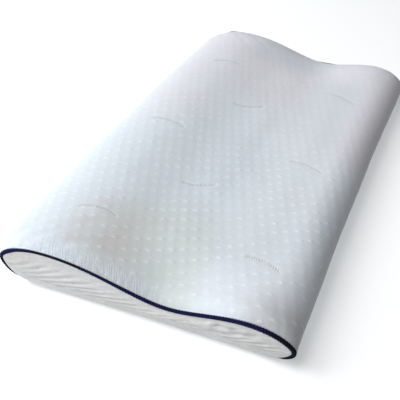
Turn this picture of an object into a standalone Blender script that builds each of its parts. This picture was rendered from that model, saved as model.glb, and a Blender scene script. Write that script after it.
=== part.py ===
"""Contour pillow: a foam body of wave section in a wrap cover, an end panel at
each end, and a piping cord sewn into each end seam.

Metres, +Z up.  +X runs along the pillow, +Y towards its high lobe.  The origin
is the centre of the underside."""
import math

import bpy
import numpy as np

# ---------------------------------------------------------------- main sizes
LENGTH = 0.550            # between the faces of the two end panels
WIDTH = 0.300             # across, from the high side to the low side
PANEL_THICK = 0.0016      # cloth of an end panel
GAP = 0.0003              # clearance between touching pieces
CORD_RADIUS = 0.00175     # piping cord
GROOVE_EASE = 0.00035     # air between the cord and the walls of its seam
PANEL_DOME = 0.0022       # how far the foam pushes an end panel out
SIDE_BOW = 0.0039         # the long sides run slightly bowed, high side outwards
SIDE_SPAN = 0.060         # how far in from a side the draw-in reaches
DRAW_CURVE = 2.2          # how sharply the draw-in at an end dies away

# The wave section, clockwise from the underside: how far across from the high
# side, and how high above the underside, in metres.
SECTION = (
    # name                 across    up
    ("underside, high",    0.0456, 0.0000),
    ("under the high side", 0.0119, 0.0115),
    ("nose, high side",    0.0000, 0.0330),
    ("shoulder, high",     0.0176, 0.0485),
    ("crest, high lobe",   0.0588, 0.0552),
    ("back of high lobe",  0.1033, 0.0492),
    ("slope to the dip",   0.1481, 0.0374),
    ("dip",                0.1827, 0.0332),
    ("rise from the dip",  0.2227, 0.0403),
    ("crest, low lobe",    0.2562, 0.0448),
    ("shoulder, low",      0.2870, 0.0370),
    ("nose, low side",     0.3000, 0.0201),
    ("under the low side", 0.2884, 0.0054),
    ("underside, low",     0.2558, 0.0000),
)

# The rounded edge of each end: its radius, where the seam sits on that radius
# (0 degrees is level with the wrap, 90 is on the end face), and how deep the
# middle of the cord lies in the seam (below zero it stands proud).
EDGES = {
    "near": {
        # side        radius   seam deg  cord depth
        "high side": (0.0050,  46.0,    0.0000),
        "low side":  (0.0050,  52.0,    0.0002),
        "top":       (0.0040,  40.0,   -0.0002),
        "underside": (0.0120,  16.0,    0.00175),
    },
    "far": {
        "high side": (0.0055,  58.0,    0.0002),
        "low side":  (0.0055,  58.0,    0.0002),
        "top":       (0.0062,  74.0,    0.0005),
        "underside": (0.0120,  16.0,    0.00175),
    },
}

# Places where the far seam rides up so far that its cord shows over the edge.
SEAM_RISES = (
    # name            across   half width  by degrees
    ("high shoulder", 0.0260,  0.0130,     34.0),
    ("in the dip",    0.1830,  0.0160,     32.0),
)

# How the cover draws the section in towards each end: by how much, and over
# what length from the end, on the high side, the low side and the top; the
# end's skew (rise along X for each metre across) and its bow.
ENDS = {
    # end     draw: high    low     top    over: high   low     top     skew    bow
    "near": (0.0097, 0.0000, 0.0064, 0.0195, 0.0200, 0.0187, 0.0310, -0.0018),
    "far":  (0.0117, 0.0045, 0.0039, 0.0358, 0.0210, 0.0283, 0.0029,  0.0019),
}

STATIONS = 28             # steps across, on the top and again underneath
RUNGS = 4                 # steps up each end face
PANEL_STEPS = (0.0, 0.33, 0.66, 1.0)   # round the edge, from the seam to the face
TAPER_STEPS = (0.14, 0.32, 0.58, 1.0)
TAPER_LENGTH = 0.060      # the body is drawn in only this near to an end
MID_STEPS = (0.110, 0.150, 0.208)

# Between its ends the filling crowns up: the dip is shallower there than at the
# seams, and the low lobe's crest is broader.
CROWN = (
    # over    spread  height: along the surface from the high nose
    (0.180,   0.040,  0.0066),
    (0.262,   0.024, -0.0026),
)
CROWN_START = 0.010       # distance from an end's face where it begins
CROWN_RUN = {"near": 0.075, "far": 0.105}

COVER_WHITE = (0.80, 0.81, 0.82, 1.0)
PANEL_WHITE = (0.72, 0.72, 0.72, 1.0)
PIPING_NAVY = (0.010, 0.014, 0.060, 1.0)


# ------------------------------------------------------------ wave section
def closed_spline(points, per_span=24):
    """Smooth closed curve through the points (periodic cubic)."""
    p = np.array(points)
    n = len(p)
    h = np.linalg.norm(np.roll(p, -1, 0) - p, axis=1) ** 0.7
    hp = np.roll(h, 1)
    a = np.zeros((n, n))
    for i in range(n):
        a[i, i - 1] += hp[i]
        a[i, i] += 2.0 * (hp[i] + h[i])
        a[i, (i + 1) % n] += h[i]
    rise = (np.roll(p, -1, 0) - p) / h[:, None]
    m = np.linalg.solve(a, 6.0 * (rise - np.roll(rise, 1, 0)))
    out = []
    for i in range(n - 1):                      # the last span is the underside
        j = i + 1
        for t in np.linspace(0.0, 1.0, per_span, endpoint=False):
            s = t * h[i]
            q = h[i] - s
            out.append(m[i] * q ** 3 / (6 * h[i]) + m[j] * s ** 3 / (6 * h[i])
                       + (p[i] / h[i] - m[i] * h[i] / 6) * q
                       + (p[j] / h[i] - m[j] * h[i] / 6) * s)
    out.append(p[-1])
    out = np.array(out)
    out[:, 1] = np.maximum(out[:, 1], 0.0)
    return out


def section_ring():
    """Points round the section: along the top from the high nose to the low
    nose, then back underneath, station for station."""
    curve = closed_spline([(a, u) for _, a, u in SECTION])
    high = int(np.argmin(curve[:, 0]))
    low = int(np.argmax(curve[:, 0]))
    top = curve[high:low + 1]
    under = np.vstack([curve[low:], curve[:high + 1]])[::-1]
    t = np.linspace(0.0, 1.0, STATIONS + 1)
    across = curve[high, 0] + (curve[low, 0] - curve[high, 0]) * (
        0.06 * t + 0.94 * 0.5 * (1.0 - np.cos(math.pi * t)))
    up = np.interp(across, top[:, 0], top[:, 1])
    down = np.interp(across, under[:, 0], under[:, 1])
    upper = np.stack([across, up], 1)
    lower = np.stack([across, down], 1)[1:-1][::-1]
    ring = np.vstack([upper, lower])
    ahead = np.roll(ring, -1, 0) - np.roll(ring, 1, 0)
    out = np.stack([-ahead[:, 1], ahead[:, 0]], 1)
    out /= np.linalg.norm(out, axis=1)[:, None]
    return ring, out


RING, OUTWARD = section_ring()
COUNT = len(RING)
FACING = {
    "high side": np.maximum(0.0, -OUTWARD[:, 0]) ** 2,
    "low side": np.maximum(0.0, OUTWARD[:, 0]) ** 2,
    "top": np.maximum(0.0, OUTWARD[:, 1]) ** 2,
    "underside": np.maximum(0.0, -OUTWARD[:, 1]) ** 2,
}


OVER = np.concatenate([[0.0], np.cumsum(np.linalg.norm(np.diff(RING, axis=0), axis=1))])
INSET = PANEL_THICK + GAP                       # body surface under a panel
FACE = math.pi / 2                              # on the radius: the end face


class Edge:
    """Values round one end, one for each point of the ring."""

    def __init__(self, end):
        rows = EDGES[end]
        self.end = end
        self.radius = sum(FACING[side] * rows[side][0] for side in rows)
        # The seam keeps its place round the noses and dives only underneath.
        under = FACING["underside"] ** 3
        rest = (1.0 - under) / np.maximum(1.0 - FACING["underside"], 1e-6)
        share = {side: under if side == "underside" else FACING[side] * rest for side in rows}
        seam, self.depth = (sum(share[side] * rows[side][column] for side in rows)
                            for column in (1, 2))
        if end == "far":
            for _, across, half_width, rise in SEAM_RISES:
                off = (RING[:, 0] - across) / half_width
                seam = seam - rise * FACING["top"] * np.exp(-off ** 2)
        self.seam = np.radians(seam)
        half = np.arcsin((CORD_RADIUS + GROOVE_EASE) / (self.radius - self.depth))
        self.wrap_edge = self.seam - half
        self.panel_edge = self.seam + half
        self.flat = np.maximum(FACE, self.panel_edge + math.radians(16.0))
        self.groove = self.depth + CORD_RADIUS + GAP + GROOVE_EASE


EDGE = {end: Edge(end) for end in EDGES}


def place(end, along, inward, drawn):
    """Ring at a distance from an end's face: the section as drawn in there,
    and set in from it."""
    skew, bow = ENDS[end][6:8]
    at = RING + drawn - OUTWARD * np.broadcast_to(inward, COUNT)[:, None]
    off = RING[:, 0] - WIDTH / 2
    v = along + (skew * off + bow * (off / (WIDTH / 2)) ** 2) * np.clip(
        1.0 - along / (LENGTH / 2), 0.0, 1.0)
    return np.stack([np.broadcast_to(v, COUNT), at[:, 0], at[:, 1]], 1)


def draw_in(end, along):
    """How far the cover pulls each point of the section across and down."""
    high, low, top, over_high, over_low, over_top = ENDS[end][:6]

    def left(over):
        return np.clip(1.0 - (along - EDGE[end].radius) / over, 0.0, 1.0) ** DRAW_CURVE
    near_high = np.maximum(0.0, 1.0 - RING[:, 0] / SIDE_SPAN) ** 2
    near_low = np.maximum(0.0, 1.0 - (WIDTH - RING[:, 0]) / SIDE_SPAN) ** 2
    across = high * near_high * left(over_high) - low * near_low * left(over_low)
    return np.stack([across, -top * FACING["top"] * left(over_top)], 1)


def crown(end, along):
    """How far the filling stands up between the ends, for each point."""
    t = np.clip((along - CROWN_START) / CROWN_RUN[end], 0.0, 1.0)
    lift = sum(height * np.exp(-((OVER - over) / spread) ** 2) for over, spread, height in CROWN)
    return np.stack([np.zeros(COUNT), lift * t * t * (3.0 - 2.0 * t)], 1)


def edge_ring(end, angle, depth):
    """Ring on the rounded edge of an end, at an angle on its radius and a
    depth below the surface.  Past the radius it runs on along the end face."""
    radius = EDGE[end].radius
    on = np.clip(angle, 0.0, FACE)
    along = radius * (1.0 - np.sin(on)) + depth * np.sin(on) + radius * np.maximum(0.0, -angle)
    inward = (radius * (1.0 - np.cos(on)) + depth * np.cos(on)
              + radius * np.maximum(0.0, angle - FACE))
    return place(end, along, inward, draw_in(end, radius))


def body_rings(end):
    """From the foam's end face back to the middle of the pillow."""
    edge = EDGE[end]
    rings = [edge_ring(end, edge.panel_edge + (edge.flat - edge.panel_edge) * t, INSET)
             for t in PANEL_STEPS[::-1]]
    rings += [edge_ring(end, edge.panel_edge, edge.groove),
              edge_ring(end, edge.seam, edge.groove),
              edge_ring(end, edge.wrap_edge, edge.groove),
              edge_ring(end, edge.wrap_edge, 0.0),
              edge_ring(end, edge.wrap_edge * 0.45, 0.0)]
    for step in (0.0,) + TAPER_STEPS:
        along = edge.radius + step * (TAPER_LENGTH - edge.radius)
        rings.append(place(end, along, 0.0, draw_in(end, along) + crown(end, along)))
    for along in MID_STEPS:
        rings.append(place(end, np.full(COUNT, along), 0.0, crown(end, along)))
    return rings


def end_rungs(ring):
    """Rows of points up an end face, between its lower and upper edge."""
    rows = []
    for k in range(1, RUNGS):
        t = k / RUNGS
        for i in range(1, STATIONS):
            top, low = ring[i], ring[COUNT - i]
            p = low + (top - low) * t
            reach = math.sin(math.pi * i / STATIONS) ** 0.7
            rows.append(p - np.array([PANEL_DOME * 4 * t * (1 - t) * reach, 0.0, 0.0]))
    return rows


def end_faces(base, inner):
    """Quads that close a ring (first index base) with its rungs (from inner)."""
    def at(i, k):
        if i in (0, STATIONS):
            return base + i
        if k == 0:
            return base + COUNT - i
        if k == RUNGS:
            return base + i
        return inner + (k - 1) * (STATIONS - 1) + i - 1
    faces = []
    for k in range(RUNGS):
        for i in range(STATIONS):
            quad = [at(i, k), at(i + 1, k), at(i + 1, k + 1), at(i, k + 1)]
            face = [q for n, q in enumerate(quad) if q not in quad[:n]]
            faces.append(face)
    return faces


def strip_faces(a, b):
    return [[a + i, a + (i + 1) % COUNT, b + (i + 1) % COUNT, b + i] for i in range(COUNT)]


def to_model(end, points):
    """Near or far end's own measures to the pillow's frame."""
    p = np.array(points)
    x = p[:, 0] - LENGTH / 2
    s = x / (LENGTH / 2)
    across = p[:, 1] + SIDE_BOW * (s * s - 1.0)
    if end == "far":
        x = -x
    return np.stack([x, WIDTH / 2 - across, p[:, 2]], 1)


# ---------------------------------------------------------------- meshes
def cloth_material(name, colour, rough, sheen):
    mat = bpy.data.materials.new(name)
    mat.use_nodes = True
    node = mat.node_tree.nodes["Principled BSDF"]
    node.inputs["Base Color"].default_value = colour
    node.inputs["Roughness"].default_value = rough
    node.inputs["Metallic"].default_value = 0.0
    node.inputs["Sheen Weight"].default_value = sheen
    mat.diffuse_color = colour
    return mat


def mesh_object(name, points, faces, mat, group):
    mesh = bpy.data.meshes.new(name)
    mesh.from_pydata([tuple(p) for p in points], [], faces)
    mesh.validate()
    mesh.shade_smooth()
    mesh.set_sharp_from_angle(angle=math.radians(50))
    mesh.materials.append(mat)
    obj = bpy.data.objects.new(name, mesh)
    group.objects.link(obj)
    return obj


def make_body(mat, group):
    near, far = body_rings("near"), body_rings("far")
    rings = [to_model("near", r) for r in near] + [to_model("far", r) for r in far[::-1]]
    points = np.vstack(rings)
    faces = []
    for k in range(len(rings) - 1):
        faces += strip_faces(k * COUNT, (k + 1) * COUNT)
    rows = to_model("near", end_rungs(near[0]))
    faces += end_faces(0, len(points))
    points = np.vstack([points, rows])
    rows = to_model("far", end_rungs(far[0]))
    faces += [f[::-1] for f in end_faces((len(rings) - 1) * COUNT, len(points))]
    points = np.vstack([points, rows])
    return mesh_object("pillow_body", points, faces, mat, group)


def make_panel(end, mat, group):
    edge = EDGE[end]
    blocks, starts, rungs = [], [], []
    for depth in (0.0, PANEL_THICK):
        rings = [edge_ring(end, edge.panel_edge + (edge.flat - edge.panel_edge) * t, depth)
                 for t in PANEL_STEPS]
        for r in rings:
            starts.append(sum(len(b) for b in blocks))
            blocks.append(r)
        rungs.append(sum(len(b) for b in blocks))
        blocks.append(np.array(end_rungs(rings[-1])))
    points = to_model(end, np.vstack(blocks))
    faces = []
    for k in range(3):                                  # outer skin, edge to face
        faces += [f[::-1] for f in strip_faces(starts[k], starts[k + 1])]
    faces += end_faces(starts[3], rungs[0])
    for k in range(4, 7):                               # inner skin
        faces += strip_faces(starts[k], starts[k + 1])
    faces += [f[::-1] for f in end_faces(starts[7], rungs[1])]
    faces += strip_faces(starts[0], starts[4])          # the cut edge
    if end == "far":
        faces = [f[::-1] for f in faces]
    return mesh_object("end_panel_" + end, points, faces, mat, group)


def make_piping(end, mat, group):
    path = to_model(end, edge_ring(end, EDGE[end].seam, EDGE[end].depth))
    curve = bpy.data.curves.new("piping_" + end, "CURVE")
    curve.dimensions = "3D"
    spline = curve.splines.new("POLY")
    spline.points.add(COUNT - 1)
    for point, at in zip(spline.points, path):
        point.co = (at[0], at[1], at[2], 1.0)
    spline.use_cyclic_u = True
    spline.use_smooth = True
    curve.bevel_depth = CORD_RADIUS
    curve.bevel_resolution = 2
    curve.materials.append(mat)
    obj = bpy.data.objects.new("piping_" + end, curve)
    group.objects.link(obj)
    return obj


def main():
    for obj in list(bpy.data.objects):
        bpy.data.objects.remove(obj, do_unlink=True)
    group = bpy.data.collections.new("contour_pillow")
    bpy.context.scene.collection.children.link(group)
    cover = cloth_material("knit_cover", COVER_WHITE, 0.85, 0.3)
    panel = cloth_material("end_cloth", PANEL_WHITE, 0.9, 0.2)
    navy = cloth_material("navy_piping", PIPING_NAVY, 0.75, 0.1)
    make_body(cover, group)
    for end in ("near", "far"):
        make_panel(end, panel, group)
        make_piping(end, navy, group)
    bpy.context.view_layer.update()
    corners = np.array([tuple(c) for obj in group.objects for c in obj.bound_box])
    middle = (corners.min(0) + corners.max(0)) / 2
    for obj in group.objects:
        obj.location = (-middle[0], -middle[1], 0.0)


main()
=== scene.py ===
"""Looks of the contour pillow: a knitted wrap cover over moulded foam, an end
panel at each end, and a twisted navy piping cord in each end seam.

Metres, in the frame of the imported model: +X along the pillow, +Y towards the
high lobe, +Z up from the flat underside."""
import math

import bpy
import numpy as np
from mathutils import Matrix, Vector, noise


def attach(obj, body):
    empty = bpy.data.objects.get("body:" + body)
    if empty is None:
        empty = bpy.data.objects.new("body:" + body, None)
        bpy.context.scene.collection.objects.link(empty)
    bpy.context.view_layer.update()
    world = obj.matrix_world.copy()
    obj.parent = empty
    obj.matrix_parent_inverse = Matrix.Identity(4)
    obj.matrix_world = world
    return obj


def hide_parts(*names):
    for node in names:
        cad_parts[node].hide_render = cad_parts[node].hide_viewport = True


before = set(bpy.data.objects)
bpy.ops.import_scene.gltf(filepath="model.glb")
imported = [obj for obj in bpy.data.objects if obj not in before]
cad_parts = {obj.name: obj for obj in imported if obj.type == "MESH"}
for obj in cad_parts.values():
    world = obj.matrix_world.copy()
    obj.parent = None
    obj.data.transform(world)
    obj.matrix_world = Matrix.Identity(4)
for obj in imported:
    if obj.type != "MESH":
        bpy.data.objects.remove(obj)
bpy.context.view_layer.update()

# ---------------------------------------------------------------- sizes
LENGTH = 0.550
WIDTH = 0.300
PANEL_THICK = 0.0016
GAP = 0.0003
CORD_RADIUS = 0.00175
GROOVE_EASE = 0.00035
PANEL_DOME = 0.0022
SIDE_BOW = 0.0039
SIDE_SPAN = 0.060
DRAW_CURVE = 2.2
CENTRE = (0.0023735, -0.0020118)  # puts the middle of the box over the origin

# The wave section: across from the high side, height above the underside.
SECTION = (
    # name                 across    up
    ("underside, high",    0.0456, 0.0000),
    ("under the high side", 0.0119, 0.0115),
    ("nose, high side",    0.0000, 0.0330),
    ("shoulder, high",     0.0176, 0.0485),
    ("crest, high lobe",   0.0588, 0.0552),
    ("back of high lobe",  0.1033, 0.0492),
    ("slope to the dip",   0.1481, 0.0374),
    ("dip",                0.1827, 0.0332),
    ("rise from the dip",  0.2227, 0.0403),
    ("crest, low lobe",    0.2562, 0.0448),
    ("shoulder, low",      0.2870, 0.0370),
    ("nose, low side",     0.3000, 0.0201),
    ("under the low side", 0.2884, 0.0054),
    ("underside, low",     0.2558, 0.0000),
)
EDGES = {
    "near": {
        # side        radius   seam deg  cord depth
        "high side": (0.0050,  46.0,    0.0000),
        "low side":  (0.0050,  52.0,    0.0002),
        "top":       (0.0040,  40.0,   -0.0002),
        "underside": (0.0120,  16.0,    0.00175),
    },
    "far": {
        "high side": (0.0055,  58.0,    0.0002),
        "low side":  (0.0055,  58.0,    0.0002),
        "top":       (0.0062,  74.0,    0.0005),
        "underside": (0.0120,  16.0,    0.00175),
    },
}
SEAM_RISES = (
    # name            across   half width  by degrees
    ("high shoulder", 0.0260,  0.0130,     34.0),
    ("in the dip",    0.1830,  0.0160,     32.0),
)
ENDS = {
    # end     draw: high    low     top    over: high   low     top     skew    bow
    "near": (0.0097, 0.0000, 0.0064, 0.0195, 0.0200, 0.0187, 0.0310, -0.0018),
    "far":  (0.0117, 0.0045, 0.0039, 0.0358, 0.0210, 0.0283, 0.0029,  0.0019),
}

# Where the cover swells over the near cord, so that less of the cord shows.
SWELLS = (
    # across   half width   how far
    (0.058,    0.034,       0.90),
    (0.120,    0.030,       0.30),
)
# Thickness of the cord round the near end, as a share of its full thickness.
CORD_FULLNESS = (
    # across   share
    (0.000,    1.26),
    (0.014,    1.26),
    (0.027,    0.92),
    (0.050,    0.66),
    (0.085,    0.68),
    (0.120,    0.82),
    (0.160,    1.04),
    (0.230,    1.08),
    (0.265,    1.26),
    (0.300,    1.22),
)

# Shallow folds of the end panels: from (across, share of the height) to
# (across, share of the height), how wide and how deep, in metres.
PANEL_FOLDS = (
    # from across, up     to across, up     width    depth
    (0.014, 0.34,   0.046, 0.80,   0.0048,  0.00055),
    (0.024, 0.26,   0.063, 0.84,   0.0050,  0.00080),
    (0.028, 0.16,   0.078, 0.84,   0.0052,  0.00100),
    (0.036, 0.10,   0.093, 0.84,   0.0052,  0.00115),
    (0.046, 0.05,   0.109, 0.84,   0.0050,  0.00120),
    (0.060, 0.04,   0.123, 0.82,   0.0050,  0.00120),
    (0.076, 0.04,   0.134, 0.82,   0.0048,  0.00110),
    (0.094, 0.05,   0.147, 0.88,   0.0046,  0.00100),
    (0.112, 0.06,   0.160, 0.90,   0.0044,  0.00085),
    (0.131, 0.10,   0.173, 0.90,   0.0042,  0.00070),
    (0.151, 0.16,   0.187, 0.86,   0.0040,  0.00055),
    (0.168, 0.22,   0.200, 0.80,   0.0040,  0.00045),
    (0.212, 0.30,   0.240, 0.56,   0.0040,  0.00055),
    (0.230, 0.14,   0.259, 0.56,   0.0038,  0.00090),
    (0.240, 0.10,   0.279, 0.78,   0.0038,  0.00120),
    (0.254, 0.12,   0.287, 0.76,   0.0036,  0.00115),
    (0.264, 0.10,   0.293, 0.70,   0.0034,  0.00105),
)

# Puckers of an end panel where the cloth is bunched under the low lobe: hollows,
# and the places that stand up between them.
PANEL_PUCKERS = (
    # across, up      half length, half width, lean, depth
    (0.198, 0.66,   0.0060, 0.0028,   18.0,   0.00045),
    (0.207, 0.42,   0.0075, 0.0034,    8.0,   0.00060),
    (0.217, 0.38,   0.0060, 0.0030,  -12.0,   0.00060),
    (0.2285, 0.76,  0.0040, 0.0030,   20.0,   0.00140),
    (0.2245, 0.44,  0.0044, 0.0032,   40.0,   0.00120),
    (0.2435, 0.75,  0.0036, 0.0028,   10.0,   0.00120),
    (0.2475, 0.60,  0.0042, 0.0028,   34.0,   0.00120),
    (0.2580, 0.67,  0.0054, 0.0030,   24.0,   0.00160),
    (0.2210, 0.80,  0.0040, 0.0026,    0.0,  -0.00055),
    (0.2365, 0.60,  0.0040, 0.0028,   30.0,  -0.00060),
    (0.2380, 0.88,  0.0050, 0.0024,    5.0,  -0.00050),
    (0.2530, 0.82,  0.0036, 0.0026,   20.0,  -0.00070),
    (0.2700, 0.80,  0.0050, 0.0028,   25.0,  -0.00070),
)

# Between its ends the filling crowns up: the dip is shallower there than at the
# seams, and the low lobe's crest is broader. Along the surface from the high
# nose, spread, height.
CROWN = (
    (0.180, 0.040, 0.0066),
    (0.262, 0.024, -0.0026),
)
CROWN_START = 0.010       # distance from an end's face where it begins
CROWN_RUN = {"near": 0.075, "far": 0.105}

# Stitched arcs of the cover's pattern: along the surface from the high nose,
# along the pillow from its near end, width, rise, and lean in degrees.
ARCS = (
    # over    along    width   rise     lean
    (0.0845, 0.0735,  0.0410,  0.0058,    5.0),
    (0.0770, 0.2535,  0.0420,  0.0036,   -1.0),
    (0.0790, 0.4340,  0.0360,  0.0034,   20.0),
    (0.2585, 0.0765,  0.0400,  0.0046,  -16.0),
    (0.2525, 0.2515,  0.0430,  0.0046,  -19.0),
    (0.2475, 0.4280,  0.0460,  0.0046,  -25.0),
    (0.1540, 0.1665,  0.0380, -0.0042,   24.0),
    (0.1455, 0.3475,  0.0395, -0.0034,   24.0),
    (0.4300, 0.0780,  0.0400,  0.0046,   -8.0),
    (0.4300, 0.2560,  0.0400,  0.0046,   -8.0),
    (0.4300, 0.4400,  0.0400,  0.0046,   -8.0),
    (0.5200, 0.1680,  0.0380, -0.0040,   12.0),
    (0.5200, 0.3500,  0.0380, -0.0040,   12.0),
)

# The knit's raised dots stand on a slanted net: two steps of it, in
# millimetres over the surface and along the pillow.
NET_A = (10.0, 5.5)
NET_B = (-5.2, 13.3)


# ---------------------------------------------------------- wave section
def dense_section(per_span=120):
    """Fine points of the wave section, and how far round each one is."""
    p = np.array([(a, u) for _, a, u in SECTION])
    n = len(p)
    h = np.linalg.norm(np.roll(p, -1, 0) - p, axis=1) ** 0.7
    hp = np.roll(h, 1)
    a = np.zeros((n, n))
    for i in range(n):
        a[i, i - 1] += hp[i]
        a[i, i] += 2.0 * (hp[i] + h[i])
        a[i, (i + 1) % n] += h[i]
    rise = (np.roll(p, -1, 0) - p) / h[:, None]
    m = np.linalg.solve(a, 6.0 * (rise - np.roll(rise, 1, 0)))
    out = []
    for i in range(n - 1):
        j = i + 1
        for t in np.linspace(0.0, 1.0, per_span, endpoint=False):
            s = t * h[i]
            q = h[i] - s
            out.append(m[i] * q ** 3 / (6 * h[i]) + m[j] * s ** 3 / (6 * h[i])
                       + (p[i] / h[i] - m[i] * h[i] / 6) * q
                       + (p[j] / h[i] - m[j] * h[i] / 6) * s)
    out.append(p[-1])
    out = np.array(out)
    out[:, 1] = np.maximum(out[:, 1], 0.0)
    flat = out[-1] + (out[0] - out[-1]) * np.linspace(0, 1, per_span + 1)[1:-1, None]
    out = np.vstack([out, flat])
    return np.roll(out, -int(np.argmin(out[:, 0])), 0)


def blur(a, n):
    k = np.ones(2 * n + 1) / (2 * n + 1)
    b = np.concatenate([a[-n:], a, a[:n]])
    return np.convolve(b, k, "valid")


class Ring:
    """Points round the wave section, from the high nose over the top to the
    low nose and back underneath, with what the ends need at each of them."""

    def __init__(self, over, under):
        fine = dense_section()
        ahead = np.roll(fine, -1, 0) - np.roll(fine, 1, 0)
        out = np.stack([-ahead[:, 1], ahead[:, 0]], 1)
        out /= np.linalg.norm(out, axis=1)[:, None] + 1e-12
        out = np.stack([blur(out[:, 0], 9), blur(out[:, 1], 9)], 1)
        out /= np.linalg.norm(out, axis=1)[:, None]
        step = np.linalg.norm(np.roll(fine, -1, 0) - fine, axis=1)
        around = np.concatenate([[0.0], np.cumsum(step)])
        closed = np.vstack([fine, fine[:1]])
        normals = np.vstack([out, out[:1]])
        low = around[int(np.argmax(fine[:, 0]))]
        total = around[-1]
        at = np.concatenate([np.linspace(0, low, over, endpoint=False),
                             np.linspace(low, total, under, endpoint=False)])
        self.over, self.under, self.count = over, under, len(at)
        self.around, self.total, self.low = at, total, low
        self.points = np.stack([np.interp(at, around, closed[:, k]) for k in (0, 1)], 1)
        nrm = np.stack([np.interp(at, around, normals[:, k]) for k in (0, 1)], 1)
        self.out = nrm / np.linalg.norm(nrm, axis=1)[:, None]
        self.facing = {
            "high side": np.maximum(0.0, -self.out[:, 0]) ** 2,
            "low side": np.maximum(0.0, self.out[:, 0]) ** 2,
            "top": np.maximum(0.0, self.out[:, 1]) ** 2,
            "underside": np.maximum(0.0, -self.out[:, 1]) ** 2,
        }
        self.edge = {end: Edge(self, end) for end in EDGES}

    def place(self, end, along, inward, drawn):
        skew, bow = ENDS[end][6:8]
        at = self.points + drawn - self.out * np.broadcast_to(inward, self.count)[:, None]
        off = self.points[:, 0] - WIDTH / 2
        v = along + (skew * off + bow * (off / (WIDTH / 2)) ** 2) * np.clip(
            1.0 - along / (LENGTH / 2), 0.0, 1.0)
        return np.stack([np.broadcast_to(v, self.count), at[:, 0], at[:, 1]], 1)

    def draw_in(self, end, along):
        high, low, top, over_high, over_low, over_top = ENDS[end][:6]

        def left(over):
            return np.clip(1.0 - (along - self.edge[end].radius) / over, 0.0, 1.0) ** DRAW_CURVE
        near_high = np.maximum(0.0, 1.0 - self.points[:, 0] / SIDE_SPAN) ** 2
        near_low = np.maximum(0.0, 1.0 - (WIDTH - self.points[:, 0]) / SIDE_SPAN) ** 2
        across = high * near_high * left(over_high) - low * near_low * left(over_low)
        return np.stack([across, -top * self.facing["top"] * left(over_top)], 1)

    def on_edge(self, end, angle, depth):
        radius = self.edge[end].radius
        on = np.clip(angle, 0.0, math.pi / 2)
        along = radius * (1.0 - np.sin(on)) + depth * np.sin(on) + radius * np.maximum(0.0, -angle)
        inward = (radius * (1.0 - np.cos(on)) + depth * np.cos(on)
                  + radius * np.maximum(0.0, angle - math.pi / 2))
        return self.place(end, along, inward, self.draw_in(end, radius))


class Edge:
    def __init__(self, ring, end):
        rows = EDGES[end]
        facing = ring.facing
        self.radius = sum(facing[side] * rows[side][0] for side in rows)
        under = facing["underside"] ** 3
        rest = (1.0 - under) / np.maximum(1.0 - facing["underside"], 1e-6)
        share = {side: under if side == "underside" else facing[side] * rest for side in rows}
        seam, self.depth = (sum(share[side] * rows[side][column] for side in rows)
                            for column in (1, 2))
        if end == "far":
            for _, across, half_width, rise in SEAM_RISES:
                off = (ring.points[:, 0] - across) / half_width
                seam = seam - rise * facing["top"] * np.exp(-off ** 2)
        self.seam = np.radians(seam)
        share_of_cord = np.interp(ring.points[:, 0], [a for a, _ in CORD_FULLNESS],
                                  [b for _, b in CORD_FULLNESS])
        if end == "far":
            share_of_cord = np.full(ring.count, 0.94)
        self.cord = CORD_RADIUS * (1.0 + (share_of_cord - 1.0) * (1.0 - facing["underside"]))
        half = np.arcsin((self.cord + 0.00012) / (self.radius - self.depth))
        self.half = half
        self.wrap_edge = self.seam - half
        self.panel_edge = self.seam + half
        self.flat = np.maximum(math.pi / 2, self.panel_edge + math.radians(16.0))
        self.groove = self.depth + CORD_RADIUS + GAP + GROOVE_EASE


def to_model(end, points):
    p = np.array(points)
    x = p[:, 0] - LENGTH / 2
    s = x / (LENGTH / 2)
    across = p[:, 1] + SIDE_BOW * (s * s - 1.0)
    if end == "far":
        x = -x
    return np.stack([x + CENTRE[0], WIDTH / 2 - across + CENTRE[1], p[:, 2]], 1)


def bell(x, width):
    return np.exp(-(x / width) ** 2)


def lumps(points, size, seed):
    """Soft unevenness, one value a point, from -1 to 1."""
    shift = Vector((seed * 3.17, seed * 1.73, seed * 0.91))
    return np.array([noise.noise(Vector(p) / size + shift) for p in points])


def grid_normals(grid):
    """Outward normals of rings (station, point, xyz), closed round each ring."""
    du = np.roll(grid, -1, 1) - np.roll(grid, 1, 1)
    dv = np.gradient(grid, axis=0)
    n = np.cross(du, dv)
    return n / (np.linalg.norm(n, axis=2)[..., None] + 1e-12)


# ---------------------------------------------------------------- meshes
def strip(a, b, count):
    return [(a + i, a + (i + 1) % count, b + (i + 1) % count, b + i) for i in range(count)]


def mesh_object(name, points, faces, mat):
    mesh = bpy.data.meshes.new(name)
    mesh.from_pydata([tuple(p) for p in np.asarray(points).tolist()], [], faces)
    mesh.shade_smooth()
    mesh.materials.append(mat)
    obj = bpy.data.objects.new(name, mesh)
    bpy.context.scene.collection.objects.link(obj)
    return obj


def add_value(obj, name, values):
    att = obj.data.attributes.new(name, "FLOAT", "POINT")
    att.data.foreach_set("value", np.asarray(values, dtype=np.float32))


def add_cloth_map(obj, over, along, total):
    """Cloth coordinates in metres, kept whole across the ring's closing line."""
    mesh = obj.data
    loops = np.zeros(len(mesh.loops), dtype=np.int32)
    mesh.loops.foreach_get("vertex_index", loops)
    uv = np.stack([over[loops], along[loops]], 1)
    start = np.zeros(len(mesh.polygons), dtype=np.int32)
    size = np.zeros(len(mesh.polygons), dtype=np.int32)
    mesh.polygons.foreach_get("loop_start", start)
    mesh.polygons.foreach_get("loop_total", size)
    for s, n in zip(start, size):
        if np.ptp(uv[s:s + n, 0]) > total / 2:
            part = uv[s:s + n, 0]
            part[part < total / 2] += total
    layer = mesh.uv_layers.new(name="cloth")
    layer.uv.foreach_set("vector", uv.astype(np.float32).ravel())


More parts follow.
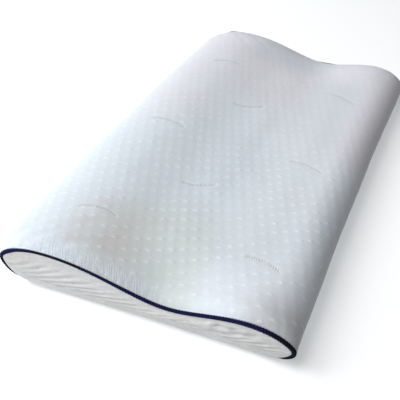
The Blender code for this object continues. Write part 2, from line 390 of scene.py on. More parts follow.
def arc_values(over, along):
    """Signed distance to the nearest stitched arc, and how much of it is there."""
    best = np.full(len(over), 1.0)
    near = np.full(len(over), 1e9)
    there = np.zeros(len(over))
    for s0, v0, width, rise, lean in ARCS:
        a = math.radians(lean)
        ds, dv = over - s0, along - v0
        x = ds * math.cos(a) + dv * math.sin(a)
        y = (-ds * math.sin(a) + dv * math.cos(a)) * (1 if rise > 0 else -1)
        r = abs(rise)
        radius = (width * width / 4 + r * r) / (2 * r)
        gap = np.hypot(x, y + radius - r / 2) - radius
        reach = np.abs(x) / (width / 2)
        score = np.abs(gap) + np.maximum(0.0, reach - 1.0) * 0.02 + np.where(y > -radius * 0.5, 0.0, 1.0)
        mask = np.clip((1.06 - reach) / 0.16, 0.0, 1.0) * np.clip((0.012 - np.abs(gap)) / 0.004, 0, 1)
        mask *= y > -radius * 0.5
        use = score < near
        near[use], best[use], there[use] = score[use], gap[use], mask[use]
    return best, there


def cover_relief(ring, end, grid, along, rows):
    """How far the cover stands off the plain form, station by station."""
    count = ring.count
    top = np.clip(1.0 - ring.facing["underside"] * 1.6, 0.0, 1.0)
    out = np.zeros(grid.shape[:2])
    flat = grid.reshape(-1, 3)
    broad = lumps(flat, 0.085, 3).reshape(out.shape)
    small = lumps(flat, 0.030, 8).reshape(out.shape)
    out += (0.00090 * broad + 0.00030 * small) * top
    # Gathers that run back from the seam and die away.
    s = ring.around[None, :]
    wave = (np.sin(2 * math.pi * s / 0.0083 + 3.0 * lumps(np.stack([ring.around, s[0] * 0, s[0] * 0], 1), 0.03, 5)[None, :])
            * (0.55 + 0.45 * lumps(np.stack([ring.around, s[0] * 0, s[0] * 0], 1), 0.022, 12)[None, :]))
    out += 0.00022 * wave * np.exp(-np.maximum(along, 0) / 0.0090) * top
    # Drag lines from the corners, where the cover is pulled round the nose.
    for centre, lean, width, reach, depth in (
            (0.020, 0.55, 0.0040, 0.030, 0.00045), (0.036, 0.95, 0.0050, 0.040, 0.00040),
            (0.060, 1.25, 0.0060, 0.040, 0.00030), (0.300, -0.50, 0.0050, 0.026, 0.00020),
            (0.284, -0.90, 0.0070, 0.034, 0.00022)):
        off = s - centre - along * lean
        out -= depth * bell(off, width) * np.exp(-((along - 0.012) / reach) ** 2) * top
    return out


def make_cover(mat):
    ring = Ring(*(((188, 62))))
    count = ring.count
    rings, along_all, live = [], [], []
    fine = 0.0019
    steps = [0.0]
    while steps[-1] < LENGTH / 2 - 0.0062:
        steps.append(steps[-1] + min(fine, 0.0007 + 0.10 * steps[-1]))
    steps = np.array(steps) / steps[-1]
    halves = {}
    for end in ("near", "far"):
        edge = ring.edge[end]
        swell = np.zeros(count)
        if end == "near":
            for across, half_width, much in SWELLS:
                swell += much * bell(ring.points[:, 0] - across, half_width)
        swell = swell * ring.facing["top"]
        rows = [(edge.flat, PANEL_THICK + GAP), (edge.panel_edge, PANEL_THICK + GAP),
                (edge.panel_edge, edge.groove), (edge.seam, edge.groove),
                (edge.wrap_edge, edge.groove),
                (edge.wrap_edge + 0.10 * edge.half * swell, 0.0012),
                (edge.wrap_edge + edge.half * (0.02 + 0.22 * swell), 0.0004 - 0.0006 * swell),
                (edge.wrap_edge - edge.half * (0.10 - 0.16 * swell), 0.00008 - 0.00085 * swell),
                (edge.wrap_edge - edge.half * (0.34 - 0.10 * swell), -0.00085 * swell),
                (edge.wrap_edge * 0.45, -0.00065 * swell)]
        part = [ring.on_edge(end, a, d) for a, d in rows]
        alive = [0.0] * 8 + [0.35, 0.85]
        v = [np.zeros(count)] * 7 + [np.full(count, x) for x in (0.0008, 0.0016, 0.0026)]
        for t in steps:
            along = edge.radius + t * (LENGTH / 2 - edge.radius)
            fade = np.exp(-((along - edge.radius) / 0.011) ** 2) * swell * 0.0005
            part.append(ring.place(end, along, -fade, ring.draw_in(end, along)))
            alive.append(1.0)
            v.append(along)
        pts = np.array([to_model(end, r) for r in part])
        halves[end] = (pts, np.array(v), np.array(alive))
    out = []
    for end in ("near", "far"):
        pts, v, alive = halves[end]
        n = grid_normals(pts)
        if end == "near":
            n = -n
        centre = pts.mean(axis=(0, 1))
        if (n[-1] * (pts[-1] - centre)).sum() < 0:
            n = -n
        relief = cover_relief(ring, end, pts, v, None)
        # Both halves meet on the same numbers at the middle.
        pts = pts + n * (relief * alive[:, None])[..., None]
        pts[..., 2] = np.maximum(pts[..., 2], 0.0)
        out.append((pts, v))
    near, far = out[0], out[1]
    middle = (near[0][-1] + far[0][-1]) / 2
    grid = np.concatenate([near[0][:-1], middle[None], far[0][:-1][::-1]])
    along = np.concatenate([near[1], LENGTH - far[1][:-1][::-1]])
    stations = len(grid)
    s = np.broadcast_to(ring.around, along.shape)
    open_near, open_far = (np.clip((a - CROWN_START) / CROWN_RUN[end], 0, 1)
                           for a, end in ((along, "near"), (LENGTH - along, "far")))
    inner = open_near ** 2 * (3 - 2 * open_near) * open_far ** 2 * (3 - 2 * open_far)
    grid[..., 2] += sum(height * bell(s - over, spread) for over, spread, height in CROWN) * inner
    # Raised dots of the knit, as real relief.
    s_mm, v_mm = s * 1000.0, along * 1000.0
    det = NET_A[0] * NET_B[1] - NET_A[1] * NET_B[0]
    i = (s_mm * NET_B[1] - v_mm * NET_B[0]) / det
    j = (v_mm * NET_A[0] - s_mm * NET_A[1]) / det
    fi, fj = i - np.round(i), j - np.round(j)
    qs = fi * NET_A[0] + fj * NET_B[0]
    qv = fi * NET_A[1] + fj * NET_B[1]
    own = np.modf(np.abs(np.sin(np.round(i) * 12.9898 + np.round(j) * 78.233) * 43758.5453))[0]
    dots = np.exp(-(qs / 3.2) ** 2 - ((qv + 0.05 * qs * qs) / 2.2) ** 2) * (0.45 + 0.75 * own)
    dots *= np.interp(along, (0.22, 0.46), (1.0, 0.45))
    gap, there = arc_values(s.ravel(), along.ravel())
    seam_far = np.minimum(along, LENGTH - along)
    calm = np.clip((seam_far - 0.012) / 0.010, 0.0, 1.0)
    top = np.clip(1.0 - ring.facing["underside"] * 1.4, 0.0, 1.0)[None, :]
    n = grid_normals(grid)
    if (n[stations // 2] * (grid[stations // 2] - grid.mean(axis=(0, 1)))).sum() < 0:
        n = -n
    groove = (there * np.exp(-(gap * 1000 / 2.4) ** 2)).reshape(dots.shape)
    grid = grid + n * ((0.00028 * dots * calm - 0.00032 * groove) * top)[..., None]
    grid[..., 2] = np.maximum(grid[..., 2], 0.0)

    faces = []
    for k in range(stations - 1):
        faces += strip(k * count, (k + 1) * count, count)

    def close(base, flip):
        """Zip the top and the underside of an end together, behind its panel."""
        top_ids = list(range(ring.over + 1))
        low_ids = [0] + list(range(count - 1, ring.over, -1)) + [ring.over]
        across = ring.points[:, 0]
        a = b = 0
        made = []
        while a < len(top_ids) - 1 or b < len(low_ids) - 1:
            next_a = across[top_ids[a + 1]] if a < len(top_ids) - 1 else 1e9
            next_b = across[low_ids[b + 1]] if b < len(low_ids) - 1 else 1e9
            if next_a <= next_b:
                tri = (top_ids[a], low_ids[b], top_ids[a + 1])
                a += 1
            else:
                tri = (top_ids[a], low_ids[b], low_ids[b + 1])
                b += 1
            if len(set(tri)) == 3:
                made.append(tuple(base + q for q in (tri[::-1] if flip else tri)))
        return made
    faces += close(0, False)
    faces += close((stations - 1) * count, True)
    obj = mesh_object("cover_over_foam", grid.reshape(-1, 3), faces, mat)
    over_v = np.tile(ring.around, stations)
    add_cloth_map(obj, over_v, along.ravel(), ring.total)
    add_value(obj, "arc_gap", gap)
    add_value(obj, "arc_there", there)
    add_value(obj, "from_seam", seam_far.ravel())
    add_value(obj, "across", np.tile(ring.points[:, 0], stations))
    return obj


def panel_relief(across, share, height):
    """Folds of an end panel, at points given by across and share of height."""
    out = np.zeros_like(across)
    y = share * height
    for a0, u0, a1, u1, width, depth in PANEL_FOLDS:
        y0, y1 = u0 * np.interp(a0, FOLD_A, FOLD_H), u1 * np.interp(a1, FOLD_A, FOLD_H)
        dx, dy = a1 - a0, y1 - y0
        long = math.hypot(dx, dy)
        t = ((across - a0) * dx + (y - y0) * dy) / long ** 2
        side = (-(across - a0) * dy + (y - y0) * dx) / long
        side = side + 0.0006 * np.sin(math.pi * np.clip(t, 0, 1))
        fade = np.clip(t / 0.14, 0, 1) * np.clip((1 - t) / 0.42, 0, 1)
        out += depth * (bell(side - width * 0.5, width * 0.62) - bell(side + width * 0.5, width * 0.62)) * fade
    for a0, u0, half_long, half_wide, lean, depth in PANEL_PUCKERS:
        y0 = u0 * np.interp(a0, FOLD_A, FOLD_H)
        c, d = math.cos(math.radians(lean)), math.sin(math.radians(lean))
        long = (across - a0) * c + (y - y0) * d
        wide = (y - y0) * c - (across - a0) * d
        out -= depth * bell(long, half_long) * bell(wide, half_wide)
    return out


def make_panel(end, mat):
    n = 190
    rungs = 24
    ring = Ring(n, n)
    count = ring.count
    edge = ring.edge[end]
    global FOLD_A, FOLD_H
    top, low = ring.points[:n + 1], ring.points[[0] + list(range(count - 1, n - 1, -1))]
    FOLD_A, FOLD_H = top[:, 0], top[:, 1] - low[:, 1]
    blocks, starts, inner, share_all, across_all = [], [], [], [], []

    def add(points, shares, acrosses):
        starts_here = sum(len(b) for b in blocks)
        blocks.append(points)
        share_all.append(shares)
        across_all.append(acrosses)
        return starts_here
    for depth in (0.0, PANEL_THICK):
        lip = 0.18 * edge.half
        angles = [edge.panel_edge - lip * 0.4, edge.panel_edge + 0.02, edge.panel_edge + 0.12]
        angles += [edge.panel_edge + 0.12 + (edge.flat - edge.panel_edge - 0.12) * t
                   for t in (0.2, 0.4, 0.6, 0.8, 1.0)]
        depths = [depth * 0.30 + 0.0006, depth * 0.75 + 0.00012, depth] + [depth] * 5
        ids = []
        side = np.where(np.arange(count) <= n, 1.0, 0.0)
        for a, d in zip(angles, depths):
            ids.append(add(ring.on_edge(end, a, d), side, ring.points[:, 0]))
        starts.append(ids)
        last = blocks[-1]
        rows, sh, ac = [], [], []
        for k in range(1, rungs):
            t = k / rungs
            for i in range(1, n):
                hi, lo = last[i], last[count - i]
                p = lo + (hi - lo) * t
                reach = math.sin(math.pi * i / n) ** 0.7
                rows.append(p - np.array([PANEL_DOME * 4 * t * (1 - t) * reach, 0.0, 0.0]))
                sh.append(t)
                ac.append(p[1])
        inner.append(add(np.array(rows), np.array(sh), np.array(ac)))
    pts = np.vstack(blocks)
    share, across = np.concatenate(share_all), np.concatenate(across_all)
    height = np.interp(across, FOLD_A, FOLD_H)
    seam_share = np.minimum(share, 1 - share) * height
    soft = np.clip(seam_share / 0.004, 0, 1)
    relief = panel_relief(across, share, height) * soft
    flat = np.stack([across, share * height, np.zeros_like(across)], 1)
    relief += (0.00035 * lumps(flat, 0.024, 21) + 0.00020 * lumps(flat, 0.009, 23)) * soft
    blotchy = bell(across - 0.212, 0.026) * np.clip(share * 1.6 - 0.5, 0, 1)
    relief += 0.00065 * lumps(flat, 0.0062, 27) * soft * blotchy
    # Small gathers under the top seam.
    relief += 0.00022 * np.sin(2 * math.pi * across / 0.0068 + 4 * lumps(flat, 0.03, 5)) * \
        np.exp(-(height - share * height) / 0.0045) * soft
    live = share < 0.999
    pts[:, 0] -= np.where(live, relief, 0.0)
    pts = to_model(end, pts)

    def ladder(base, first):
        def at(i, k):
            if i in (0, n):
                return base + i
            if k == 0:
                return base + count - i
            if k == rungs:
                return base + i
            return first + (k - 1) * (n - 1) + i - 1
        made = []
        for k in range(rungs):
            for i in range(n):
                quad = (at(i, k), at(i + 1, k), at(i + 1, k + 1), at(i, k + 1))
                made.append(tuple(q for m, q in enumerate(quad) if q not in quad[:m]))
        return made
    faces = []
    outer, under = starts
    for a, b in zip(outer[:-1], outer[1:]):
        faces += [f[::-1] for f in strip(a, b, count)]
    faces += ladder(outer[-1], inner[0])
    for a, b in zip(under[:-1], under[1:]):
        faces += strip(a, b, count)
    faces += [f[::-1] for f in ladder(under[-1], inner[1])]
    faces += strip(outer[0], under[0], count)
    if end == "far":
        faces = [f[::-1] for f in faces]
    obj = mesh_object("end_cloth_" + end, pts, faces, mat)
    # The fold relief, kept for the painted shade in the fold troughs.
    add_value(obj, "fold", np.clip(0.5 + relief / 0.0018, 0.0, 1.0))
    up = np.concatenate([b[:, 2] for b in blocks])
    add_cloth_map(obj, across, up, 10.0)
    return obj


def make_cord(end, mat):
    """Twisted cord along the seam: three strands round a common middle."""
    n = 900
    ring = Ring(n, n)
    edge = ring.edge[end]
    path = to_model(end, ring.on_edge(end, edge.seam, edge.depth))
    outer = to_model(end, ring.on_edge(end, edge.seam, edge.depth - 0.001))
    up = outer - path
    up /= np.linalg.norm(up, axis=1)[:, None]
    run = np.roll(path, -1, 0) - np.roll(path, 1, 0)
    run /= np.linalg.norm(run, axis=1)[:, None]
    up -= run * (up * run).sum(1)[:, None]
    up /= np.linalg.norm(up, axis=1)[:, None]
    side = np.cross(run, up)
    step = np.linalg.norm(np.roll(path, -1, 0) - path, axis=1)
    far = np.concatenate([[0.0], np.cumsum(step)])
    total = far[-1]
    turns = round(total / (0.0084))
    twist = 2 * math.pi * turns * far[:-1] / total
    sides = 18
    wander = lumps(path, 0.014, 31)
    radius = edge.cord * (0.98 + 0.03 * wander)
    pts = []
    strand, turn = [], []
    for k in range(sides):
        a = 2 * math.pi * k / sides
        lobe = np.abs(np.cos(1.5 * (a - twist)))
        r = radius * (0.72 + 0.34 * lobe)
        pts.append(path + up * (r * np.cos(a))[:, None] + side * (r * np.sin(a))[:, None])
        strand.append(lobe)
    pts = np.array(pts).transpose(1, 0, 2)
    pts[..., 2] = np.maximum(pts[..., 2], 0.00032)
    faces = []
    for i in range(ring.count):
        j = (i + 1) % ring.count
        for k in range(sides):
            m = (k + 1) % sides
            faces.append((i * sides + k, i * sides + m, j * sides + m, j * sides + k))
    volume_up = np.cross(run[0], up[0])
    obj = mesh_object("piping_cord_" + end, pts.reshape(-1, 3), faces, mat)
    over = np.repeat(far[:-1], sides)
    around = np.tile(np.arange(sides) / sides * 2 * math.pi * CORD_RADIUS, ring.count)
    add_cloth_map(obj, over, around, total)
    add_value(obj, "strand", np.array(strand).T.ravel())
    return obj


def face_out(obj):
    """Turn the faces outwards if the closed mesh holds a negative volume."""
    mesh = obj.data
    co = np.zeros(len(mesh.vertices) * 3)
    mesh.vertices.foreach_get("co", co)
    co = co.reshape(-1, 3)
    mesh.calc_loop_triangles()
    tri = np.zeros(len(mesh.loop_triangles) * 3, dtype=np.int32)
    mesh.loop_triangles.foreach_get("vertices", tri)
    a, b, c = (co[tri.reshape(-1, 3)[:, k]] for k in range(3))
    if (a * np.cross(b, c)).sum() < 0:
        mesh.flip_normals()
    return obj


# ---------------------------------------------------------------- materials
class Nodes:
    """Short hand for building a material's nodes."""

    def __init__(self, name):
        self.mat = bpy.data.materials.new(name)
        self.mat.use_nodes = True
        self.tree = self.mat.node_tree
        self.shader = self.tree.nodes["Principled BSDF"]

    def link(self, a, b):
        self.tree.links.new(a, b)

    def put(self, socket, value):
        if isinstance(value, (int, float)):
            socket.default_value = value
        elif isinstance(value, tuple):
            socket.default_value = value
        else:
            self.link(value, socket)

    def math(self, op, a, b=0.0, c=None, clamp=False):
        n = self.tree.nodes.new("ShaderNodeMath")
        n.operation = op
        n.use_clamp = clamp
        self.put(n.inputs[0], a)
        self.put(n.inputs[1], b)
        if c is not None:
            self.put(n.inputs[2], c)
        return n.outputs[0]

    def add(self, a, b): return self.math("ADD", a, b)
    def sub(self, a, b): return self.math("SUBTRACT", a, b)
    def mul(self, a, b): return self.math("MULTIPLY", a, b)

    def span(self, x, low, high, out_low=0.0, out_high=1.0):
        n = self.tree.nodes.new("ShaderNodeMapRange")
        n.interpolation_type = "SMOOTHSTEP"
        self.put(n.inputs["Value"], x)
        n.inputs["From Min"].default_value = low
        n.inputs["From Max"].default_value = high
        n.inputs["To Min"].default_value = out_low
        n.inputs["To Max"].default_value = out_high
        return n.outputs["Result"]

    def attribute(self, name):
        n = self.tree.nodes.new("ShaderNodeAttribute")
        n.attribute_name = name
        return n.outputs["Fac"]

    def cloth(self):
        """Cloth coordinates in millimetres."""
        n = self.tree.nodes.new("ShaderNodeUVMap")
        n.uv_map = "cloth"
        s = self.tree.nodes.new("ShaderNodeSeparateXYZ")
        self.link(n.outputs[0], s.inputs[0])
        return self.mul(s.outputs[0], 1000.0), self.mul(s.outputs[1], 1000.0)

    def vector(self, x, y, z=0.0):
        n = self.tree.nodes.new("ShaderNodeCombineXYZ")
        self.put(n.inputs[0], x)
        self.put(n.inputs[1], y)
        self.put(n.inputs[2], z)
        return n.outputs[0]

    def place(self):
        return self.tree.nodes.new("ShaderNodeTexCoord").outputs["Object"]

    def noise(self, at, scale, detail=2.0, rough=0.5, stretch=None):
        n = self.tree.nodes.new("ShaderNodeTexNoise")
        n.inputs["Scale"].default_value = scale
        n.inputs["Detail"].default_value = detail
        n.inputs["Roughness"].default_value = rough
        if stretch:
            m = self.tree.nodes.new("ShaderNodeMapping")
            m.inputs["Scale"].default_value = stretch
            self.link(at, m.inputs["Vector"])
            at = m.outputs[0]
        self.link(at, n.inputs["Vector"])
        return n.outputs["Fac"]

    def mix(self, share, a, b):
        n = self.tree.nodes.new("ShaderNodeMix")
        n.data_type = "RGBA"
        self.put(n.inputs["Factor"], share)
        self.put(n.inputs[6], a)
        self.put(n.inputs[7], b)
        return n.outputs[2]

    def bump(self, height, normal=None, strength=1.0, distance=0.001):
        n = self.tree.nodes.new("ShaderNodeBump")
        n.inputs["Strength"].default_value = strength
        n.inputs["Distance"].default_value = distance
        self.link(height, n.inputs["Height"])
        if normal is not None:
            self.link(normal, n.inputs["Normal"])
        return n.outputs[0]

    def net(self, s, v, step_a, step_b, wide, tall, bend):
        """Short raised dashes on a slanted net, 0 to 1."""
        det = step_a[0] * step_b[1] - step_a[1] * step_b[0]
        i = self.sub(self.mul(s, step_b[1] / det), self.mul(v, step_b[0] / det))
        j = self.sub(self.mul(v, step_a[0] / det), self.mul(s, step_a[1] / det))
        fi = self.sub(i, self.math("ROUND", i))
        fj = self.sub(j, self.math("ROUND", j))
        qs = self.add(self.mul(fi, step_a[0]), self.mul(fj, step_b[0]))
        qv = self.add(self.mul(fi, step_a[1]), self.mul(fj, step_b[1]))
        qv = self.add(qv, self.mul(self.mul(qs, qs), bend))
        a = self.mul(qs, 1.0 / wide)
        b = self.mul(qv, 1.0 / tall)
        d = self.add(self.mul(a, a), self.mul(b, b))
        own = self.tree.nodes.new("ShaderNodeTexWhiteNoise")
        own.noise_dimensions = "2D"
        self.link(self.vector(self.math("ROUND", i), self.math("ROUND", j)), own.inputs["Vector"])
        return self.mul(self.math("EXPONENT", self.mul(d, -1.0)), self.add(0.55, self.mul(own.outputs["Value"], 0.60)))

    def knit(self, s, v, wale, course):
        """Knit stitches: wales along the cloth, each a chain of small Vs."""
        t = self.math("FRACT", self.mul(s, 1.0 / wale))
        side = self.math("ABSOLUTE", self.sub(self.mul(t, 2.0), 1.0))
        row = self.add(self.mul(v, 1.0 / course), self.mul(side, 0.35))
        chain = self.math("SINE", self.mul(row, 2 * math.pi))
        body = self.sub(1.0, self.mul(side, side))
        return self.add(self.mul(body, 0.65), self.mul(self.mul(chain, body), 0.35))


def cover_material():
    m = Nodes("knit_cover")
    s, v = m.cloth()
    place = m.place()
    seam = m.mul(m.attribute("from_seam"), 1000.0)
    across = m.mul(m.attribute("across"), 1000.0)
    ragged = m.noise(place, 60.0, 3.0)
    # Band of drawn ribs beside the end seams.
    band = m.mul(m.span(m.add(seam, m.mul(ragged, 14.0)), 12.0, 34.0, 1.0, 0.0),
                 m.mul(m.span(across, 18.0, 48.0), m.span(across, 150.0, 185.0, 1.0, 0.0)))
    dots = m.net(s, v, NET_A, NET_B, 2.7, 1.25, 0.045)
    patchy = m.mul(m.span(m.noise(place, 34.0, 3.0), 0.34, 0.62, 0.15, 1.0),
                   m.span(v, 220.0, 460.0, 1.0, 0.30))
    dots = m.mul(m.mul(dots, patchy), m.sub(1.0, m.mul(band, 0.8)))
    cells = m.net(m.add(s, 2.4), m.add(v, 9.4), NET_A, NET_B, 3.4, 2.6, 0.0)
    knit = m.knit(s, v, 1.15, 1.45)
    drawn = m.add(s, m.mul(v, 0.42))
    streak = m.noise(m.vector(drawn, v), 1.0, 3.0, 0.62, stretch=(0.62, 0.085, 1.0))
    ribs = m.span(streak, 0.36, 0.62)
    specks = m.span(m.noise(m.vector(drawn, v), 1.0, 2.0, 0.6, stretch=(0.72, 0.26, 1.0)), 0.56, 0.68)
    gap = m.mul(m.attribute("arc_gap"), 1000.0)
    gap = m.add(gap, m.mul(m.sub(m.noise(m.vector(s, v), 0.35, 2.0), 0.5), 3.4))
    line = m.math("EXPONENT", m.mul(m.mul(m.mul(gap, 1 / 1.9), m.mul(gap, 1 / 1.9)), -1.0))
    dash = m.add(0.62, m.mul(m.math("SINE", m.mul(s, 2 * math.pi / 2.6)), 0.38))
    line = m.mul(m.mul(line, m.attribute("arc_there")), dash)
    lit = m.math("EXPONENT", m.mul(m.mul(m.mul(m.add(gap, 1.9), 1 / 0.9), m.mul(m.add(gap, 1.9), 1 / 0.9)), -1.0))
    lit = m.mul(lit, m.attribute("arc_there"))

    tone = m.add(m.mul(m.noise(place, 9.0, 2.0), 0.6), m.span(v, 180.0, 470.0, 0.0, 0.32))
    tone = m.add(tone, m.mul(m.span(s, 190.0, 290.0), 0.16))
    base = m.mix(m.span(tone, 0.34, 0.66), COVER_COOL, COVER_WARM)
    # A tint that varies at random, plus painted shade in the dip near the near end.
    green_tint_and_shade = m.add(m.mul(m.noise(place, 13.0, 1.0), 0.5), m.mul(
        m.mul(m.span(s, 60.0, 120.0), m.span(s, 190.0, 240.0, 1.0, 0.0)), m.span(v, 60.0, 190.0, 0.5, 0.0)))
    base = m.mix(m.span(green_tint_and_shade, 0.40, 0.72, 0.0, 0.90), base, COVER_GREEN_TINT_AND_SHADE)
    # Painted shade on the slope down into the dip next to the near end, in blotches.
    slope_shade = m.mul(m.mul(m.span(s, 55.0, 95.0), m.span(s, 120.0, 165.0, 1.0, 0.0)),
                  m.mul(m.span(v, 8.0, 30.0), m.span(v, 56.0, 116.0, 1.0, 0.0)))
    base = m.mix(m.mul(slope_shade, m.span(m.noise(place, 40.0, 2.0), 0.30, 0.60, 0.55, 1.0)), base, COVER_SLOPE_SHADE)
    # Painted shade over the low lobe between the ends.
    lobe = m.mul(m.mul(m.span(s, 186.0, 218.0), m.span(s, 256.0, 286.0, 1.0, 0.0)),
                 m.mul(m.span(v, 30.0, 95.0), m.span(v, 445.0, 500.0, 1.0, 0.0)))
    base = m.mix(m.mul(lobe, 0.75), base, COVER_SHADE_AND_GRAIN)
    # Painted shade at the far end of the dip.
    hollow = m.mul(m.mul(m.span(s, 85.0, 115.0), m.span(s, 195.0, 225.0, 1.0, 0.0)), m.span(v, 462.0, 505.0))
    base = m.mix(m.mul(hollow, 0.70), base, COVER_SHADE_AND_GRAIN)
    # Painted shade in the near low corner.
    corner = m.mul(m.span(across, 236.0, 268.0), m.span(v, 8.0, 60.0, 1.0, 0.0))
    base = m.mix(m.mul(corner, 0.48), base, COVER_RIM_SHADE)
    # Painted shade along the low side of the pillow.
    base = m.mix(m.span(across, 287.0, 300.0, 0.0, 0.40), base, COVER_RIM_SHADE)
    # Painted shade in the knit's hollows between the raised dots.
    base = m.mix(m.mul(cells, 0.18), base, COVER_SHADE_AND_GRAIN)
    grain = m.noise(m.vector(s, v), 0.42, 3.0, 0.65)
    base = m.mix(m.span(grain, 0.40, 0.72, 0.0, 0.34), base, COVER_SHADE_AND_GRAIN)
    # Painted highlight on the knit's raised dots.
    base = m.mix(m.mul(dots, 0.53), base, COVER_HIGHLIGHT)
    base = m.mix(m.mul(band, m.mul(ribs, 0.40)), base, COVER_RIB)
    base = m.mix(m.mul(band, m.mul(specks, 0.55)), base, COVER_SPECK)
    # Painted highlight along one side of each stitched arc.
    base = m.mix(m.mul(lit, 0.45), base, COVER_HIGHLIGHT)
    base = m.mix(m.mul(line, 0.52), base, COVER_LINE)
    m.link(base, m.shader.inputs["Base Color"])

    fuzz = m.noise(m.vector(s, v), 1.6, 3.0, 0.6)
    height = m.add(m.mul(dots, 0.34), m.mul(knit, 0.10))
    height = m.sub(height, m.mul(cells, 0.10))
    height = m.sub(height, m.mul(m.mul(ribs, band), 0.20))
    height = m.sub(height, m.mul(line, 0.42))
    height = m.add(height, m.mul(fuzz, 0.06))
    m.link(m.bump(height, distance=0.0008), m.shader.inputs["Normal"])
    rough = m.span(fuzz, 0.3, 0.7, 0.80, 0.92)
    m.link(rough, m.shader.inputs["Roughness"])
    m.shader.inputs["Sheen Weight"].default_value = 0.16
    m.shader.inputs["Sheen Roughness"].default_value = 0.55
    m.shader.inputs["Specular IOR Level"].default_value = 0.25
    return m.mat


def panel_material():
    m = Nodes("end_cloth")
    s, v = m.cloth()
    place = m.place()
    knit = m.knit(v, s, 1.2, 1.5)
    dots = m.net(s, v, (7.6, 2.2), (-3.0, 6.4), 1.9, 1.1, 0.05)
    ribs = m.noise(m.vector(s, v), 1.0, 2.0, 0.5, stretch=(0.05, 0.30, 1.0))
    tone = m.noise(place, 22.0, 2.0)
    base = m.mix(m.span(tone, 0.35, 0.65), PANEL_LIGHT, PANEL_WARM)
    base = m.mix(m.mul(m.span(ribs, 0.40, 0.66), 0.22), base, PANEL_SHADE_AND_RIB)
    # Painted shade in the troughs of the folds.
    base = m.mix(m.span(m.attribute("fold"), 0.0, 0.60, 0.52, 0.0), base, PANEL_SHADE_AND_RIB)
    patch = m.span(m.noise(place, 30.0, 2.0), 0.42, 0.62)
    shaded = m.span(s, 130.0, 230.0, 0.0, 0.28)
    base = m.mix(m.mul(shaded, m.span(m.noise(place, 80.0, 3.0), 0.30, 0.70, 0.5, 1.3)), base, PANEL_SHADE_AND_RIB)
    # Painted highlight on the raised dots of the knit, in patches.
    base = m.mix(m.mul(m.mul(dots, patch), 0.35), base, PANEL_HIGHLIGHT)
    m.link(base, m.shader.inputs["Base Color"])
    fuzz = m.noise(m.vector(s, v), 1.7, 3.0, 0.6)
    height = m.add(m.mul(dots, 0.22), m.add(m.mul(knit, 0.10), m.mul(fuzz, 0.06)))
    height = m.add(height, m.mul(ribs, 0.55))
    m.link(m.bump(height, distance=0.0009), m.shader.inputs["Normal"])
    m.link(m.span(fuzz, 0.3, 0.7, 0.82, 0.95), m.shader.inputs["Roughness"])
    m.shader.inputs["Sheen Weight"].default_value = 0.12
    m.shader.inputs["Sheen Roughness"].default_value = 0.6
    m.shader.inputs["Specular IOR Level"].default_value = 0.2
    return m.mat


def cord_material():
    m = Nodes("navy_piping")
    s, v = m.cloth()
    strand = m.attribute("strand")
    slant = m.add(m.mul(s, 1 / 0.55), m.mul(v, 1 / 1.6))
    yarn = m.math("SINE", m.mul(slant, 2 * math.pi))
    fuzz = m.noise(m.vector(s, v), 3.0, 2.0)
    # Painted shade between the twisted strands.
    base = m.mix(m.span(strand, 0.10, 0.90), CORD_SHADE, CORD_NAVY)
    # Painted highlight along the yarn on the crowns of the strands.
    base = m.mix(m.mul(m.mul(m.span(yarn, 0.0, 1.0), m.span(strand, 0.6, 1.0)), 0.60), base, CORD_STRAND_HIGHLIGHT)
    # Painted shade: the cord is coloured very dark round the noses and where it is pulled in.
    cord_shade_zones = m.add(m.mul(m.span(s, 258.0, 284.0), m.span(s, 350.0, 380.0, 1.0, 0.0)),
                  m.mul(m.span(s, 32.0, 42.0), m.span(s, 72.0, 104.0, 1.0, 0.0)))
    cord_shade_zones = m.add(cord_shade_zones, m.span(s, 556.0, 584.0))
    base = m.mix(m.mul(cord_shade_zones, 0.88), base, CORD_SHADE)
    m.link(base, m.shader.inputs["Base Color"])
    height = m.add(m.mul(yarn, 0.10), m.mul(fuzz, 0.12))
    m.link(m.bump(height, distance=0.0006), m.shader.inputs["Normal"])
    m.link(m.span(fuzz, 0.3, 0.7, 0.72, 0.90), m.shader.inputs["Roughness"])
    m.shader.inputs["Sheen Weight"].default_value = 0.01
    m.shader.inputs["Sheen Roughness"].default_value = 0.5
    m.shader.inputs["Specular IOR Level"].default_value = 0.14
    return m.mat


COVER_COOL = (0.582, 0.628, 0.668, 1.0)
COVER_WARM = (0.612, 0.598, 0.632, 1.0)
COVER_GREEN_TINT_AND_SHADE = (0.548, 0.590, 0.570, 1.0)
COVER_SPECK = (0.700, 0.730, 0.780, 1.0)
COVER_SLOPE_SHADE = (0.520, 0.505, 0.495, 1.0)
COVER_SHADE_AND_GRAIN = (0.520, 0.550, 0.580, 1.0)
COVER_HIGHLIGHT = (0.720, 0.745, 0.770, 1.0)
COVER_RIB = (0.400, 0.435, 0.560, 1.0)
COVER_RIM_SHADE = (0.340, 0.322, 0.305, 1.0)
COVER_LINE = (0.330, 0.350, 0.370, 1.0)
PANEL_LIGHT = (0.625, 0.625, 0.623, 1.0)
PANEL_WARM = (0.590, 0.582, 0.572, 1.0)
PANEL_SHADE_AND_RIB = (0.470, 0.470, 0.470, 1.0)
PANEL_HIGHLIGHT = (0.740, 0.745, 0.745, 1.0)
CORD_SHADE = (0.0008, 0.0010, 0.006, 1.0)
CORD_NAVY = (0.0034, 0.0052, 0.056, 1.0)
CORD_STRAND_HIGHLIGHT = (0.010, 0.014, 0.115, 1.0)

# ---------------------------------------------------------------- the pillow
cover = face_out(make_cover(cover_material()))
end_cloth = panel_material()
navy = cord_material()
panels = {end: face_out(make_panel(end, end_cloth)) for end in ("near", "far")}
cords = {end: face_out(make_cord(end, navy)) for end in ("near", "far")}

for piece, node, slot in ((cover, "pillow_body", "knit_cover"),
                          (panels["near"], "end_panel_near", "end_cloth"),
                          (panels["far"], "end_panel_far", "end_cloth"),
                          (cords["near"], "piping_near", "navy_piping"),
                          (cords["far"], "piping_far", "navy_piping")):
    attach(piece, "root")
    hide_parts(node)

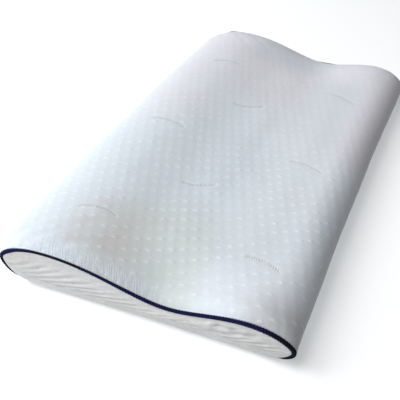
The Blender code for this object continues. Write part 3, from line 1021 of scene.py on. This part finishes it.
# ---------------------------------------------------------------- camera
eye = Vector((-0.648606, -0.211865, 0.466756))
right = Vector((0.369454, -0.928004, 0.048077))
up = Vector((0.559847, 0.263582, 0.785555))
ahead = Vector((0.741671, 0.263310, -0.616922))
camera = bpy.data.objects.new("camera", bpy.data.cameras.new("camera"))
bpy.context.scene.collection.objects.link(camera)
camera.matrix_world = Matrix(((right[0], up[0], -ahead[0], eye[0]),
                              (right[1], up[1], -ahead[1], eye[1]),
                              (right[2], up[2], -ahead[2], eye[2]),
                              (0, 0, 0, 1)))
camera.data.sensor_width = 36.0
camera.data.lens = 60.7186
camera.data.shift_x = -0.055075
camera.data.shift_y = 0.027531
camera.data.clip_start = 0.01
bpy.context.scene.camera = camera

# ---------------------------------------------------------------- floor, light
floor_mesh = bpy.data.meshes.new("floor")
floor_mesh.from_pydata([(-4, -4, 0), (4, -4, 0), (4, 4, 0), (-4, 4, 0)], [], [(0, 1, 2, 3)])
floor = bpy.data.objects.new("floor", floor_mesh)
bpy.context.scene.collection.objects.link(floor)
floor_mat = bpy.data.materials.new("floor")
floor_mat.use_nodes = True
fb = floor_mat.node_tree.nodes["Principled BSDF"]
fb.inputs["Base Color"].default_value = (0.95, 0.95, 0.95, 1.0)
fb.inputs["Roughness"].default_value = 1.0
fb.inputs["Specular IOR Level"].default_value = 0.0
floor_mesh.materials.append(floor_mat)
floor.location.z = -0.0004


def area_light(name, at, look, size, power, colour=(1, 1, 1)):
    data = bpy.data.lights.new(name, "AREA")
    data.shape = "RECTANGLE"
    data.size, data.size_y = size
    data.energy = power
    data.color = colour
    obj = bpy.data.objects.new(name, data)
    bpy.context.scene.collection.objects.link(obj)
    obj.location = at
    obj.rotation_euler = (Vector(look) - Vector(at)).to_track_quat("-Z", "Y").to_euler()
    return obj


area_light("key", (-0.90, 3.30, 2.50), (0.0, 0.0, 0.03), (3.0, 2.2), 116.0, (0.945, 0.98, 1.0))
open_key = area_light("open_key", (-0.90, 3.30, 2.50), (0.0, 0.0, 0.03), (3.0, 2.2), 116.0, (0.945, 0.98, 1.0))
open_key.data.use_shadow = False
area_light("overhead", (-0.9, 0.9, 3.0), (0.0, 0.0, 0.0), (2.0, 2.0), 37.0, (1.0, 0.98, 1.0))
area_light("front", (-1.9, 0.9, 1.7), (0.0, 0.0, 0.03), (0.8, 0.5), 9.0, (1.0, 0.985, 0.97))
world = bpy.data.worlds.new("studio")
bpy.context.scene.world = world
world.use_nodes = True
world.node_tree.nodes["Background"].inputs["Color"].default_value = (0.96, 0.98, 1.0, 1.0)
world.node_tree.nodes["Background"].inputs["Strength"].default_value = 0.13
bpy.context.scene.view_settings.view_transform = "Standard"
bpy.context.scene.view_settings.look = "None"
